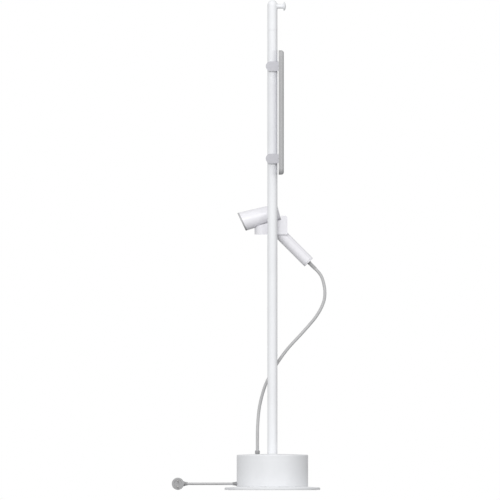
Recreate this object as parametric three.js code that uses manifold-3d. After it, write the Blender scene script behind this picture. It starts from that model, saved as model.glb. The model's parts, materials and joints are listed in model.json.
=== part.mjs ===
// Free-standing hair-dryer column: weighted base, pole, peg, turning mirror, cradle and hand piece.
// Millimetres, +Z up, origin on the floor at the pole's axis. +X is the side the peg points to.
import * as THREE from 'three';
import { mergeVertices } from 'three/addons/utils/BufferGeometryUtils.js';
import Module from 'manifold-3d';

const wasm = await Module();
wasm.setup();

const GAP = 0.3;
const UP = new THREE.Vector3(0, 0, 1);
const ALONG_X = new THREE.Vector3(1, 0, 0);
const ALONG_Y = new THREE.Vector3(0, 1, 0);

// Base: plate, ring of rubber under it, drum cover over the ballast.
const PLATE_RADIUS = 153;
const PLATE_UNDERSIDE = 0.5;
const PLATE_TOP = 10.2;
const PAD_GROOVE = { inner: 118, outer: 142, top: 3.3 };
const SOCKET_BOLT_CIRCLE = 32;
const COVER_SCREW_CIRCLE = 106;
const DRUM_RADIUS = 114.25;
const DRUM_SHOULDER = 111;
const DRUM_CROWN = 115.5;
const DRUM_WALL = 1.6;
const CORD_HOLE_RADIUS = 6.3;
const BASE_SIDES = 36;

// Pole and the turned head that closes it.
const POLE_RADIUS = 16;
const POLE_BORE = 14;
const POLE_SIDES = 28;
const HEAD_SEAM = 1472;
const POLE_APEX = 1568;
const PEG_HEIGHT = 1548;
const PEG_RADIUS = 7.5;
const PEG_HEAD_RADIUS = 14;
const CRADLE_SCREW_HEIGHTS = [829, 845];

// Mirror panel and its clamps.
const PANEL_BACK = 19.8;
const PANEL_SEAM = 28;
const PANEL_FRONT = 36.7;
const PANEL_BOTTOM = 1009;
const PANEL_TOP = 1407;
const PANEL_WIDTH = 280;
const PANEL_CORNER = 20;
const PANEL_WALL = 2.4;
const PANEL_ROUNDING = 8;
const WINDOW_RIM = 22;
const GLASS_RIM = 15.4;
const CLAMP_HEIGHTS = { upper: 1356, lower: 1060.6 };
const CLAMP_RADIUS = 15.5;
const CLAMP_END = -5.9;
const CLAMP_HALF_WIDTH = 24;
const CLAMP_SCREW_OFFSET = 20;

// Hand piece: barrel and grip axes cross at CROSSING, in a plane behind the pole.
const HAND_PLANE = 50;
const BARREL_TILT = THREE.MathUtils.degToRad(15);
const BARREL_AXIS = new THREE.Vector3(Math.cos(BARREL_TILT), 0, Math.sin(BARREL_TILT));
const BARREL_FRONT = new THREE.Vector3(-98.9, HAND_PLANE, 858);
const BARREL_LENGTH = 124;
const BARREL_FRONT_RADIUS = 31;
const BARREL_REAR_RADIUS = 26.6;
const BARREL_WALL = 2;
const REAR_SEAM = 120.6;
const OUTLET_DEPTH = 5;
const MOUTH_SLANT = THREE.MathUtils.degToRad(10.5);
const CROSSING = new THREE.Vector3(-31, HAND_PLANE, 876);
const GRIP_AXIS = new THREE.Vector3(Math.SQRT1_2, 0, -Math.SQRT1_2);
const GRIP_RADIUS = 19;
const GRIP_WALL = 2;
const GRIP_LENGTH = 208.6;
const CAP_SEAM = GRIP_LENGTH - 4;
const BOOT_LENGTH = 30;
const SLIDER_AT = 136;
const BUTTON_AT = 172;

// Fork that carries the hand piece.
const CHEEK_INNER = 20;
const CHEEK_OUTER = 26;
const FORK_BEND = -31;
const FORK_END = 48;
const FORK_BOTTOM = 817.5;
const LUG_TOP = 878;
const LUG_ROUNDING = 7.5;

// Cords.
const HAND_CABLE_RADIUS = 5;
const GLAND_X = -48;
const GLAND_Y = 30;
const GLAND_TOP = 127;
const MAINS_RADIUS = 4;
const MAINS_HEIGHT = 20;
const PLUG_X = -302.5;
const PLUG_RADIUS = 19.5;
const PLUG_FACE = -30;
const PLUG_BACK = 9;
const PIN_OFFSET = 9.5;

const PAINT = { color: '#eceef0', roughness: 0.38, metalness: 0.0 };
const WHITE_PLASTIC = { color: '#f1f2f3', roughness: 0.42, metalness: 0.0 };
const GREY_PLASTIC = { color: '#aeb4b9', roughness: 0.5, metalness: 0.0 };
const CLAMP_GREY = { color: '#c3c8cd', roughness: 0.4, metalness: 0.2 };
const DARK_PLASTIC = { color: '#7c8185', roughness: 0.55, metalness: 0.0 };
const CABLE_GREY = { color: '#c6c9cb', roughness: 0.6, metalness: 0.0 };
const RUBBER = { color: '#a6a8aa', roughness: 0.85, metalness: 0.0 };
const STEEL = { color: '#a9adb1', roughness: 0.35, metalness: 0.9 };
const IRON = { color: '#4b4d50', roughness: 0.7, metalness: 0.6 };
const BRASS = { color: '#b9a66a', roughness: 0.35, metalness: 0.9 };
const MIRROR = { color: '#dfe5e8', roughness: 0.03, metalness: 1.0 };
const BOARD_GREEN = { color: '#2f6b45', roughness: 0.6, metalness: 0.0 };
const BROWN_BOARD = { color: '#7a6248', roughness: 0.8, metalness: 0.0 };
const CERAMIC = { color: '#d8cfc0', roughness: 0.8, metalness: 0.0 };

const model = new THREE.Group();
model.name = 'hair_dryer_column';

// Shared vertices merged, flat triangles dropped, faces turned outward.
function toSolid(geometry) {
  const bare = geometry.clone();
  bare.deleteAttribute('normal');
  bare.deleteAttribute('uv');
  const merged = mergeVertices(bare, 1e-4);
  const corner = (i) => new THREE.Vector3().fromBufferAttribute(merged.attributes.position, i);
  const triangles = [];
  let volume = 0;
  for (let i = 0; i < merged.index.count; i += 3) {
    const [a, b, c] = [0, 1, 2].map((k) => merged.index.getX(i + k));
    if (a === b || b === c || c === a) continue;
    triangles.push([a, b, c]);
    volume += corner(a).dot(corner(b).cross(corner(c)));
  }
  const facing = volume < 0 ? triangles.map(([a, b, c]) => [a, c, b]) : triangles;
  return new wasm.Manifold(new wasm.Mesh({
    numProp: 3,
    vertProperties: new Float32Array(merged.attributes.position.array),
    triVerts: new Uint32Array(facing.flat()),
  }));
}

function piece(name, solid, look) {
  const mesh = solid.getMesh();
  const geometry = new THREE.BufferGeometry();
  geometry.setAttribute('position', new THREE.Float32BufferAttribute(mesh.vertProperties, 3));
  geometry.setIndex(new THREE.Uint32BufferAttribute(mesh.triVerts, 1));
  const node = new THREE.Mesh(geometry, new THREE.MeshStandardMaterial(look));
  node.name = name;
  model.add(node);
}

// A frame whose own Z runs along `axis`; its own X lies as near as it can to `side`.
function frameAt(origin, axis, side = ALONG_X) {
  const z = axis.clone().normalize();
  const y = new THREE.Vector3().crossVectors(z, side).normalize();
  const x = new THREE.Vector3().crossVectors(y, z);
  return new THREE.Matrix4().makeBasis(x, y, z).setPosition(origin);
}

const at = (x, y, z) => new THREE.Vector3(x, y, z);
const ON_POLE = frameAt(at(0, 0, 0), UP);

// Turned solid from [radius, height] corners around a frame's Z.
function turned(profile, frame = ON_POLE, segments = 28) {
  const points = profile.map(([radius, height]) => new THREE.Vector2(radius, height));
  const geometry = new THREE.LatheGeometry(points, segments);
  return toSolid(geometry.rotateX(Math.PI / 2).applyMatrix4(frame));
}

function rod(radius, start, end, frame = ON_POLE, segments = 16) {
  return turned([[0, start], [radius, start], [radius, end], [0, end]], frame, segments);
}

function ring(inner, outer, start, end, frame = ON_POLE, segments = 28) {
  const profile = [[inner, start], [outer, start], [outer, end], [inner, end], [inner, start]];
  return turned(profile, frame, segments);
}

function block(x0, x1, y0, y1, z0, z1) {
  const geometry = new THREE.BoxGeometry(x1 - x0, y1 - y0, z1 - z0);
  return toSolid(geometry.translate((x0 + x1) / 2, (y0 + y1) / 2, (z0 + z1) / 2));
}

// A box given in a frame's own axes.
function blockIn(frame, x0, x1, y0, y1, z0, z1) {
  const geometry = new THREE.BoxGeometry(x1 - x0, y1 - y0, z1 - z0);
  geometry.translate((x0 + x1) / 2, (y0 + y1) / 2, (z0 + z1) / 2);
  return toSolid(geometry.applyMatrix4(frame));
}

// A flat outline pushed along a frame's Z.
function pushed(shape, depth, frame, bevel = 0) {
  const geometry = new THREE.ExtrudeGeometry(shape, {
    depth,
    curveSegments: 6,
    bevelEnabled: bevel > 0,
    bevelSize: bevel,
    bevelThickness: bevel,
    bevelSegments: 3,
  });
  return toSolid(geometry.applyMatrix4(frame));
}

function roundedOutline(width, height, radius) {
  const [w, h] = [width / 2, height / 2];
  const outline = new THREE.Shape();
  outline.moveTo(-w + radius, -h);
  outline.lineTo(w - radius, -h);
  outline.absarc(w - radius, -h + radius, radius, -Math.PI / 2, 0);
  outline.lineTo(w, h - radius);
  outline.absarc(w - radius, h - radius, radius, 0, Math.PI / 2);
  outline.lineTo(-w + radius, h);
  outline.absarc(-w + radius, h - radius, radius, Math.PI / 2, Math.PI);
  outline.lineTo(-w, -h + radius);
  outline.absarc(-w + radius, -h + radius, radius, Math.PI, 1.5 * Math.PI);
  return outline;
}

function cable(points, radius, steps, sides) {
  const path = new THREE.CatmullRomCurve3(points, false, 'centripetal');
  const outline = new THREE.Shape();
  for (let i = 0; i < sides; i += 1) {
    const angle = (i / sides) * 2 * Math.PI;
    const [x, y] = [radius * Math.cos(angle), radius * Math.sin(angle)];
    if (i === 0) outline.moveTo(x, y);
    else outline.lineTo(x, y);
  }
  return toSolid(new THREE.ExtrudeGeometry(outline, { steps, extrudePath: path, bevelEnabled: false }));
}

function buildBase() {
  const screwSpots = [45, 135, 225, 315].map((turn) => {
    const angle = THREE.MathUtils.degToRad(turn);
    return [Math.cos(angle), Math.sin(angle)];
  });
  let plate = turned([
    [0, PLATE_UNDERSIDE], [PAD_GROOVE.inner, PLATE_UNDERSIDE], [PAD_GROOVE.inner, PAD_GROOVE.top],
    [PAD_GROOVE.outer, PAD_GROOVE.top], [PAD_GROOVE.outer, PLATE_UNDERSIDE],
    [PLATE_RADIUS - 0.6, PLATE_UNDERSIDE], [PLATE_RADIUS, PLATE_UNDERSIDE + 0.6], [PLATE_RADIUS, 5.6],
    [PLATE_RADIUS - 0.7, 7.3], [PLATE_RADIUS - 2.6, 8.1], [DRUM_RADIUS + 0.95, PLATE_TOP], [0, PLATE_TOP],
  ], ON_POLE, BASE_SIDES);
  let cover = turned([
    [DRUM_RADIUS - DRUM_WALL, PLATE_TOP + GAP], [DRUM_RADIUS, PLATE_TOP + GAP],
    [DRUM_RADIUS, DRUM_SHOULDER - 1.2], [DRUM_RADIUS - 0.8, DRUM_SHOULDER + 0.9],
    [DRUM_RADIUS - 3, DRUM_SHOULDER + 2], [70, DRUM_CROWN - 1], [16.5, DRUM_CROWN],
    [16.5, DRUM_CROWN - DRUM_WALL], [70, DRUM_CROWN - 1 - DRUM_WALL],
    [DRUM_RADIUS - 4, DRUM_SHOULDER + 0.3], [DRUM_RADIUS - DRUM_WALL, DRUM_SHOULDER - 2],
    [DRUM_RADIUS - DRUM_WALL, PLATE_TOP + GAP],
  ], ON_POLE, BASE_SIDES);
  let flange = rod(46, PLATE_TOP + GAP, 16.5).add(ring(7, POLE_BORE - GAP, 16, 92));
  screwSpots.forEach(([cos, sin], index) => {
    const bolt = frameAt(at(SOCKET_BOLT_CIRCLE * cos, SOCKET_BOLT_CIRCLE * sin, 0), UP);
    plate = plate.subtract(rod(3.3, 3, 12, bolt, 12));
    flange = flange.subtract(rod(3.3, 9, 18, bolt, 12));
    piece(`socket_bolt_${index + 1}`, rod(3, 3.4, 17.4, bolt, 12).add(rod(5, 16.8, 21.5, bolt, 6)), STEEL);
    const boss = frameAt(at(COVER_SCREW_CIRCLE * cos, COVER_SCREW_CIRCLE * sin, 0), UP);
    cover = cover.add(rod(7.4, PLATE_TOP + GAP, 34, boss, 12));
    cover = cover.subtract(rod(2.3, 9, 28, boss, 12));
    plate = plate.subtract(rod(2.5, 0, 12, boss, 12)).subtract(rod(5, 0, 5, boss, 12));
    piece(`cover_screw_${index + 1}`, rod(2, 2.6, 24, boss, 12).add(rod(4.4, 1.6, 4.7, boss, 12)), STEEL);
  });
  // Openings in the cover: mains bushing through the wall, cable gland through the crown.
  const mainsFrame = frameAt(at(0, 0, MAINS_HEIGHT), at(-1, 0, 0), UP);
  const glandFrame = frameAt(at(GLAND_X, GLAND_Y, 0), UP);
  cover = cover.subtract(rod(CORD_HOLE_RADIUS, 100, 120, mainsFrame));
  cover = cover.subtract(rod(CORD_HOLE_RADIUS, 100, 120, glandFrame));
  const [padInner, padOuter] = [PAD_GROOVE.inner + 0.4, PAD_GROOVE.outer - 0.4];
  piece('floor_pad', ring(padInner, padOuter, 0, PAD_GROOVE.top - GAP, ON_POLE, BASE_SIDES), RUBBER);
  piece('base_plate', plate, PAINT);
  piece('socket_flange', flange, STEEL);
  piece('drum_cover', cover, PAINT);
  // The ballast is a C: the gap on the cord's side holds the terminal block.
  const ballast = ring(50, 96, PLATE_TOP + GAP, 54).subtract(block(-120, -20, -22, 22, 0, 80));
  piece('ballast_ring', ballast, IRON);
  piece('terminal_block', block(-92, -62, -14, 14, PLATE_TOP + GAP, 28), GREY_PLASTIC);
  piece('supply_module', block(50, 92, -30, 30, 54.3, 82), GREY_PLASTIC);
  piece('mains_bushing', turned([
    [0, 104], [8.5, 104], [8.5, 111.8], [6, 111.8], [6, 114.6],
    [7.2, 114.6], [7.2, 117], [5.6, 128], [0, 128],
  ], mainsFrame, 24), DARK_PLASTIC);
  piece('cable_gland', turned([
    [0, 100], [6, 100], [6, 115.9], [8, 115.9], [8, 122], [7.2, 125.4], [6, GLAND_TOP], [0, GLAND_TOP],
  ], glandFrame, 24), DARK_PLASTIC);
  const nut = rod(10, 106, 111.6, glandFrame, 6).subtract(rod(CORD_HOLE_RADIUS, 100, 115, glandFrame));
  piece('gland_nut', nut, DARK_PLASTIC);
}

function buildPole() {
  const pegFrame = frameAt(at(0, 0, PEG_HEIGHT), ALONG_X, UP);
  const domeBase = POLE_APEX - POLE_RADIUS;
  const dome = [0, 15, 30, 45, 60, 75].map((turn) => {
    const angle = THREE.MathUtils.degToRad(turn);
    return [POLE_RADIUS * Math.cos(angle), domeBase + POLE_RADIUS * Math.sin(angle)];
  });
  let head = turned([
    [0, HEAD_SEAM - 38], [POLE_BORE - GAP, HEAD_SEAM - 38], [POLE_BORE - GAP, HEAD_SEAM],
    [POLE_RADIUS, HEAD_SEAM], ...dome, [0, POLE_APEX],
  ], ON_POLE, POLE_SIDES);
  head = head.subtract(rod(4.3, 2, 20, pegFrame, 20));
  let pole = ring(POLE_BORE, POLE_RADIUS, 16.8, HEAD_SEAM - GAP, ON_POLE, POLE_SIDES);
  CRADLE_SCREW_HEIGHTS.forEach((height, index) => {
    const screw = frameAt(at(0, 0, height), ALONG_Y);
    pole = pole.subtract(rod(2.4, 10, 18, screw, 10));
    const body = rod(2, 9, 28, screw, 10).add(rod(3.8, 27.2, 29.7, screw, 10));
    piece(`cradle_screw_${index + 1}`, body, STEEL);
  });
  piece('pole_tube', pole, PAINT);
  piece('pole_head', head, PAINT);
  // The shoulder of the peg is hollowed to sit on the round head; its stud runs inside.
  const peg = turned([
    [0, 10], [PEG_RADIUS, 10], [PEG_RADIUS, 32.6], [8.4, 34.2], [12.4, 35.2], [PEG_HEAD_RADIUS, 36],
    [PEG_HEAD_RADIUS, 38.2], [12, 40.6], [7.4, 42.4], [0, 43.2],
  ], pegFrame, 24);
  const seat = rod(POLE_RADIUS + GAP, HEAD_SEAM, POLE_APEX + 20, ON_POLE, POLE_SIDES);
  piece('coat_peg', peg.subtract(seat).add(rod(4, 3, 18, pegFrame, 16)), PAINT);
}

function buildMirror() {
  const middle = (PANEL_BOTTOM + PANEL_TOP) / 2;
  const height = PANEL_TOP - PANEL_BOTTOM;
  const panelFrame = (x) => frameAt(at(x, 0, middle), ALONG_X, ALONG_Y);
  const slab = (x0, x1, rim, radius) => {
    const outline = roundedOutline(PANEL_WIDTH - 2 * rim, height - 2 * rim, radius);
    return pushed(outline, x1 - x0, panelFrame(x0));
  };
  const [seamBack, seamFront] = [PANEL_SEAM - GAP / 2, PANEL_SEAM + GAP / 2];
  const hollow = slab(22.4, PANEL_FRONT, PANEL_WALL, PANEL_CORNER - PANEL_WALL);
  let shell = slab(PANEL_BACK, seamBack, 0, PANEL_CORNER).subtract(hollow);
  // The front edge is rounded: a bevelled slab, cut at the seam.
  const inset = PANEL_ROUNDING;
  const core = roundedOutline(PANEL_WIDTH - 2 * inset, height - 2 * inset, PANEL_CORNER - inset);
  const rounded = pushed(core, 2, panelFrame(PANEL_FRONT - inset - 2), inset);
  let frame = rounded.intersect(block(seamFront, 60, -200, 200, 900, 1500));
  frame = frame.subtract(slab(20, 60, WINDOW_RIM, 6)).subtract(slab(20, 34, GLASS_RIM - 0.4, 8));
  piece('mirror_glass', slab(31, 33.7, GLASS_RIM, 7.6), MIRROR);
  piece('backing_board', slab(28.4, 30.7, GLASS_RIM, 7.6), BROWN_BOARD);
  for (const [place, z] of Object.entries(CLAMP_HEIGHTS)) {
    const side = new THREE.Shape();
    side.moveTo(PANEL_BACK - GAP, -CLAMP_RADIUS);
    side.lineTo(PANEL_BACK - GAP, CLAMP_RADIUS);
    side.lineTo(CLAMP_END, CLAMP_RADIUS);
    side.absarc(CLAMP_END, 0, CLAMP_RADIUS, Math.PI / 2, 1.5 * Math.PI);
    const sideFrame = new THREE.Matrix4().makeBasis(ALONG_X, UP, at(0, -1, 0));
    sideFrame.setPosition(0, CLAMP_HALF_WIDTH, z);
    let clamp = pushed(side, 2 * CLAMP_HALF_WIDTH, sideFrame);
    clamp = clamp.subtract(rod(POLE_RADIUS + GAP, z - 30, z + 30, ON_POLE, POLE_SIDES));
    const grub = frameAt(at(0, 0, z), at(-1, 0, 0), UP);
    clamp = clamp.subtract(rod(3.3, 12, 30, grub, 16));
    piece(`clamp_grub_${place}`, rod(3, POLE_RADIUS + GAP, 20.6, grub, 16), STEEL);
    for (const [sideName, y] of [['near', -CLAMP_SCREW_OFFSET], ['far', CLAMP_SCREW_OFFSET]]) {
      const screw = frameAt(at(0, y, z), ALONG_X, UP);
      clamp = clamp.subtract(rod(2.3, 3, 30, screw, 10));
      shell = shell.subtract(rod(2.3, 10, 30, screw, 10));
      const body = rod(2, 4, 23, screw, 10).add(rod(3.8, 22.7, 25, screw, 10));
      piece(`panel_screw_${place}_${sideName}`, body, STEEL);
    }
    piece(`clamp_block_${place}`, clamp, CLAMP_GREY);
  }
  piece('panel_back', shell, GREY_PLASTIC);
  piece('panel_frame', frame, GREY_PLASTIC);
}

const barrelFrame = frameAt(BARREL_FRONT, BARREL_AXIS, at(0, 0, -1));
const gripFrame = frameAt(CROSSING, GRIP_AXIS, at(-1, 0, -1));

function barrelRadius(distance) {
  const share = distance / BARREL_LENGTH;
  return BARREL_FRONT_RADIUS + (BARREL_REAR_RADIUS - BARREL_FRONT_RADIUS) * share;
}

function barrelCone(start, end, extra) {
  return turned([
    [0, start], [barrelRadius(start) + extra, start], [barrelRadius(end) + extra, end], [0, end],
  ], barrelFrame, 24);
}

// Everything in front of a plane that leans like the outlet, `offset` behind the outlet's middle.
function aheadOfMouth(offset) {
  const lean = BARREL_AXIS.clone().applyAxisAngle(ALONG_Y, -MOUTH_SLANT);
  const origin = BARREL_FRONT.clone().addScaledVector(BARREL_AXIS, offset);
  return blockIn(frameAt(origin, lean, at(0, 0, -1)), -90, 90, -90, 90, -90, 0);
}

function buildBarrel() {
  const outside = barrelCone(-9, REAR_SEAM, 0).subtract(aheadOfMouth(OUTLET_DEPTH));
  let shell = outside.subtract(barrelCone(-9, REAR_SEAM - BARREL_WALL, -BARREL_WALL));
  shell = shell.subtract(rod(20, 90, 140, barrelFrame, 40)).subtract(rod(13, 18, 60, gripFrame, 24));
  piece('barrel_shell', shell, WHITE_PLASTIC);
  // Outlet ring: a collar with a grille of bars just inside the mouth.
  let outlet = barrelCone(-9, 40, -0.2).subtract(aheadOfMouth(0));
  outlet = outlet.intersect(aheadOfMouth(OUTLET_DEPTH - GAP)).subtract(barrelCone(-9, 40, -4));
  const mouthAxis = BARREL_AXIS.clone().applyAxisAngle(ALONG_Y, -MOUTH_SLANT);
  const mouthFrame = frameAt(BARREL_FRONT, mouthAxis, at(0, 0, -1));
  let spigot = barrelCone(-9, 40, -BARREL_WALL - GAP).subtract(barrelCone(-9, 40, -4.2));
  spigot = spigot.subtract(aheadOfMouth(OUTLET_DEPTH - 1)).intersect(aheadOfMouth(16));
  let bars = ring(11, 13, 3, 5, mouthFrame, 20).add(rod(3.4, 3, 5, mouthFrame, 12));
  for (const turn of [0, 60, 120]) {
    const angle = THREE.MathUtils.degToRad(turn);
    const spoke = mouthFrame.clone().multiply(new THREE.Matrix4().makeRotationZ(angle));
    bars = bars.add(blockIn(spoke, -30, 30, -0.9, 0.9, 3, 5));
  }
  bars = bars.intersect(barrelCone(-9, 40, -3));
  piece('outlet_ring', outlet.add(spigot).add(bars), DARK_PLASTIC);
  // Heater: ceramic frame of crossed plates inside a sleeve.
  let heater = ring(20.5, 22.5, 30, 66, barrelFrame, 20);
  for (const side of [ALONG_Y, at(0, 0, -1)]) {
    heater = heater.add(blockIn(frameAt(BARREL_FRONT, BARREL_AXIS, side), -21, 21, -0.8, 0.8, 30, 66));
  }
  piece('heater_core', heater, CERAMIC);
  let mount = ring(13.3, 15, 72, 96, barrelFrame, 20);
  for (const turn of [45, 135]) {
    const angle = THREE.MathUtils.degToRad(turn);
    const spoke = barrelFrame.clone().multiply(new THREE.Matrix4().makeRotationZ(angle));
    mount = mount.add(blockIn(spoke, -25, 25, -1, 1, 72, 84));
  }
  mount = mount.add(ring(23.6, 25.2, 72, 84, barrelFrame, 20));
  mount = mount.subtract(rod(13.3, 60, 110, barrelFrame, 20));
  piece('motor_mount', mount, DARK_PLASTIC);
  piece('fan_motor', rod(12.9, 73, 95, barrelFrame, 20).add(rod(1.5, 94, 106, barrelFrame, 10)), STEEL);
  // Impeller: hub on the motor's shaft with six pitched blades.
  let impeller = rod(7, 97, 108, barrelFrame, 16);
  for (let i = 0; i < 6; i += 1) {
    const around = new THREE.Matrix4().makeRotationZ((i / 6) * 2 * Math.PI);
    const pitch = new THREE.Matrix4().makeRotationX(THREE.MathUtils.degToRad(35));
    const shift = new THREE.Matrix4().makeTranslation(0, 0, 102.5);
    const blade = barrelFrame.clone().multiply(around).multiply(shift).multiply(pitch);
    impeller = impeller.add(blockIn(blade, 5, 22, -5, 5, -0.6, 0.6));
  }
  piece('fan_impeller', impeller.subtract(rod(1.8, 90, 107, barrelFrame, 12)), DARK_PLASTIC);
  piece('air_filter', rod(19.7, 112.5, 115.5, barrelFrame), DARK_PLASTIC);
  // Rear cover: slightly domed disc with slots over the intake.
  const rim = barrelRadius(REAR_SEAM);
  let cover = turned([
    [0, 116.2], [19.6, 116.2], [19.6, REAR_SEAM + GAP], [rim, REAR_SEAM + GAP], [rim, REAR_SEAM + 2.2],
    [rim - 1.4, BARREL_LENGTH], [0, BARREL_LENGTH + 0.6],
  ], barrelFrame, 24);
  cover = cover.subtract(rod(17.6, 110, REAR_SEAM - 0.4, barrelFrame, 32));
  for (const reach of [-10, 0, 10]) {
    const half = Math.sqrt(16.5 ** 2 - reach ** 2);
    cover = cover.subtract(blockIn(barrelFrame, reach - 2.5, reach + 2.5, -half, half, 110, 130));
  }
  piece('rear_cover', cover, WHITE_PLASTIC);
}

function buildGrip() {
  let shell = ring(GRIP_RADIUS - GRIP_WALL, GRIP_RADIUS, 18, CAP_SEAM - GAP, gripFrame, 24);
  shell = shell.subtract(barrelCone(-9, 120, GAP));
  // Controls sit on the side turned away from the pole.
  const far = (distance) => {
    const origin = CROSSING.clone().addScaledVector(GRIP_AXIS, distance);
    return frameAt(origin, ALONG_Y, GRIP_AXIS);
  };
  shell = shell.subtract(blockIn(far(SLIDER_AT), -16.3, 8.3, -4.3, 4.3, 12, 22));
  shell = shell.subtract(rod(6.3, 12, 22, far(BUTTON_AT), 24));
  piece('grip_shell', shell, WHITE_PLASTIC);
  // Slider: a stem through the slot, a ribbed thumb pad outside, and a shoe that always covers the slot.
  let slider = blockIn(far(SLIDER_AT), -16, -4, -4, 4, 13, 19.6);
  for (const reach of [-13, -10, -7]) {
    slider = slider.add(blockIn(far(SLIDER_AT), reach - 0.7, reach + 0.7, -3.6, 3.6, 19, 20.6));
  }
  piece('power_slider', slider.add(blockIn(far(SLIDER_AT), -30, 9.5, -6.4, 6.4, 12.6, 14.4)), GREY_PLASTIC);
  piece('cool_button', turned([
    [0, 14], [6, 14], [6, 20], [5, 21], [0, 21.4],
  ], far(BUTTON_AT), 24).add(rod(7.4, 12.4, 14.2, far(BUTTON_AT), 24)), GREY_PLASTIC);
  piece('grip_board', blockIn(far(140), -46, 46, -9, 9, 4, 5.6), BOARD_GREEN);
  piece('grip_end_cap', turned([
    [0, CAP_SEAM - 10], [GRIP_RADIUS - GRIP_WALL - GAP, CAP_SEAM - 10],
    [GRIP_RADIUS - GRIP_WALL - GAP, CAP_SEAM], [GRIP_RADIUS, CAP_SEAM],
    [GRIP_RADIUS, GRIP_LENGTH - 1.4], [GRIP_RADIUS - 1.4, GRIP_LENGTH], [0, GRIP_LENGTH],
  ], gripFrame).subtract(rod(6.8, 150, 230, gripFrame, 20)), WHITE_PLASTIC);
  const bootEnd = GRIP_LENGTH + BOOT_LENGTH;
  piece('cable_boot', turned([
    [0, CAP_SEAM - 14], [9, CAP_SEAM - 14], [9, CAP_SEAM - 10.3], [6.5, CAP_SEAM - 10.3],
    [6.5, GRIP_LENGTH + 8], [5.4, bootEnd], [0, bootEnd],
  ], gripFrame, 20), DARK_PLASTIC);
}

function buildCradle() {
  const plan = new THREE.Shape();
  plan.moveTo(FORK_END, HAND_PLANE - CHEEK_OUTER);
  plan.lineTo(FORK_END, HAND_PLANE - CHEEK_INNER);
  plan.lineTo(FORK_BEND, HAND_PLANE - CHEEK_INNER);
  plan.absarc(FORK_BEND, HAND_PLANE, CHEEK_INNER, 1.5 * Math.PI, Math.PI / 2, true);
  plan.lineTo(FORK_END, HAND_PLANE + CHEEK_INNER);
  plan.lineTo(FORK_END, HAND_PLANE + CHEEK_OUTER);
  plan.lineTo(FORK_BEND, HAND_PLANE + CHEEK_OUTER);
  plan.absarc(FORK_BEND, HAND_PLANE, CHEEK_OUTER, Math.PI / 2, 1.5 * Math.PI);
  const wall = pushed(plan, 80, frameAt(at(0, 0, 810), UP));
  // Side outline: a rail that follows the barrel's underside, and a lug behind the barrel's rear.
  const side = new THREE.Shape();
  side.moveTo(-60, FORK_BOTTOM);
  side.lineTo(FORK_END, FORK_BOTTOM);
  side.lineTo(FORK_END, LUG_TOP - LUG_ROUNDING);
  side.absarc(FORK_END - LUG_ROUNDING, LUG_TOP - LUG_ROUNDING, LUG_ROUNDING, 0, Math.PI / 2);
  side.lineTo(30, LUG_TOP);
  side.lineTo(28, LUG_TOP - 2);
  side.lineTo(28, 864.5);
  side.lineTo(-17, 854.5);
  side.lineTo(-45, 846);
  side.lineTo(-60, 838.5);
  const sideFrame = new THREE.Matrix4().makeBasis(ALONG_X, UP, at(0, -1, 0));
  sideFrame.setPosition(0, 100, 0);
  let fork = wall.intersect(pushed(side, 90, sideFrame));
  fork = fork.add(block(-11, 11, 8, HAND_PLANE - CHEEK_OUTER + 1, 822, 852));
  fork = fork.subtract(rod(POLE_RADIUS + GAP, 800, 900, ON_POLE, POLE_SIDES));
  fork = fork.subtract(barrelCone(-9, BARREL_LENGTH + 1, 0.5));
  for (const height of CRADLE_SCREW_HEIGHTS) {
    const screw = frameAt(at(0, 0, height), ALONG_Y);
    fork = fork.subtract(rod(2.4, 10, 40, screw, 10)).subtract(rod(4.2, 26.9, 40, screw, 10));
  }
  piece('cradle', fork, WHITE_PLASTIC);
}

function buildCords() {
  const bootTip = GRIP_LENGTH + BOOT_LENGTH;
  const pastBoot = (reach) => CROSSING.clone().addScaledVector(GRIP_AXIS, bootTip + reach);
  const handRoute = [
    pastBoot(GAP), pastBoot(9), at(157, 50, 683), at(167.5, 49, 640), at(164.5, 47, 604), at(143, 44, 560),
    at(100, 41, 508), at(75, 39.5, 481), at(50, 38, 453.5), at(29, 36.5, 426), at(10, 35, 397),
    at(-8.5, 33.4, 365), at(-24, 32, 332), at(-41, 30.5, 268), at(-47, 30, 210), at(GLAND_X, GLAND_Y, 160),
    at(GLAND_X, GLAND_Y, GLAND_TOP + GAP),
  ];
  piece('hand_cable', cable(handRoute, HAND_CABLE_RADIUS, 30, 8), CABLE_GREY);
  // The mains cord lies straight between its two strain reliefs.
  const mainsRoute = [
    -128.3, -138, -148, -158, -168, -178, -188, -198, -208, -218, -228, -238, -248, -258, -270.7,
  ].map((x) => at(x, 0, MAINS_HEIGHT));
  piece('mains_cord', cable(mainsRoute, MAINS_RADIUS, 8, 8), CABLE_GREY);
}

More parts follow.
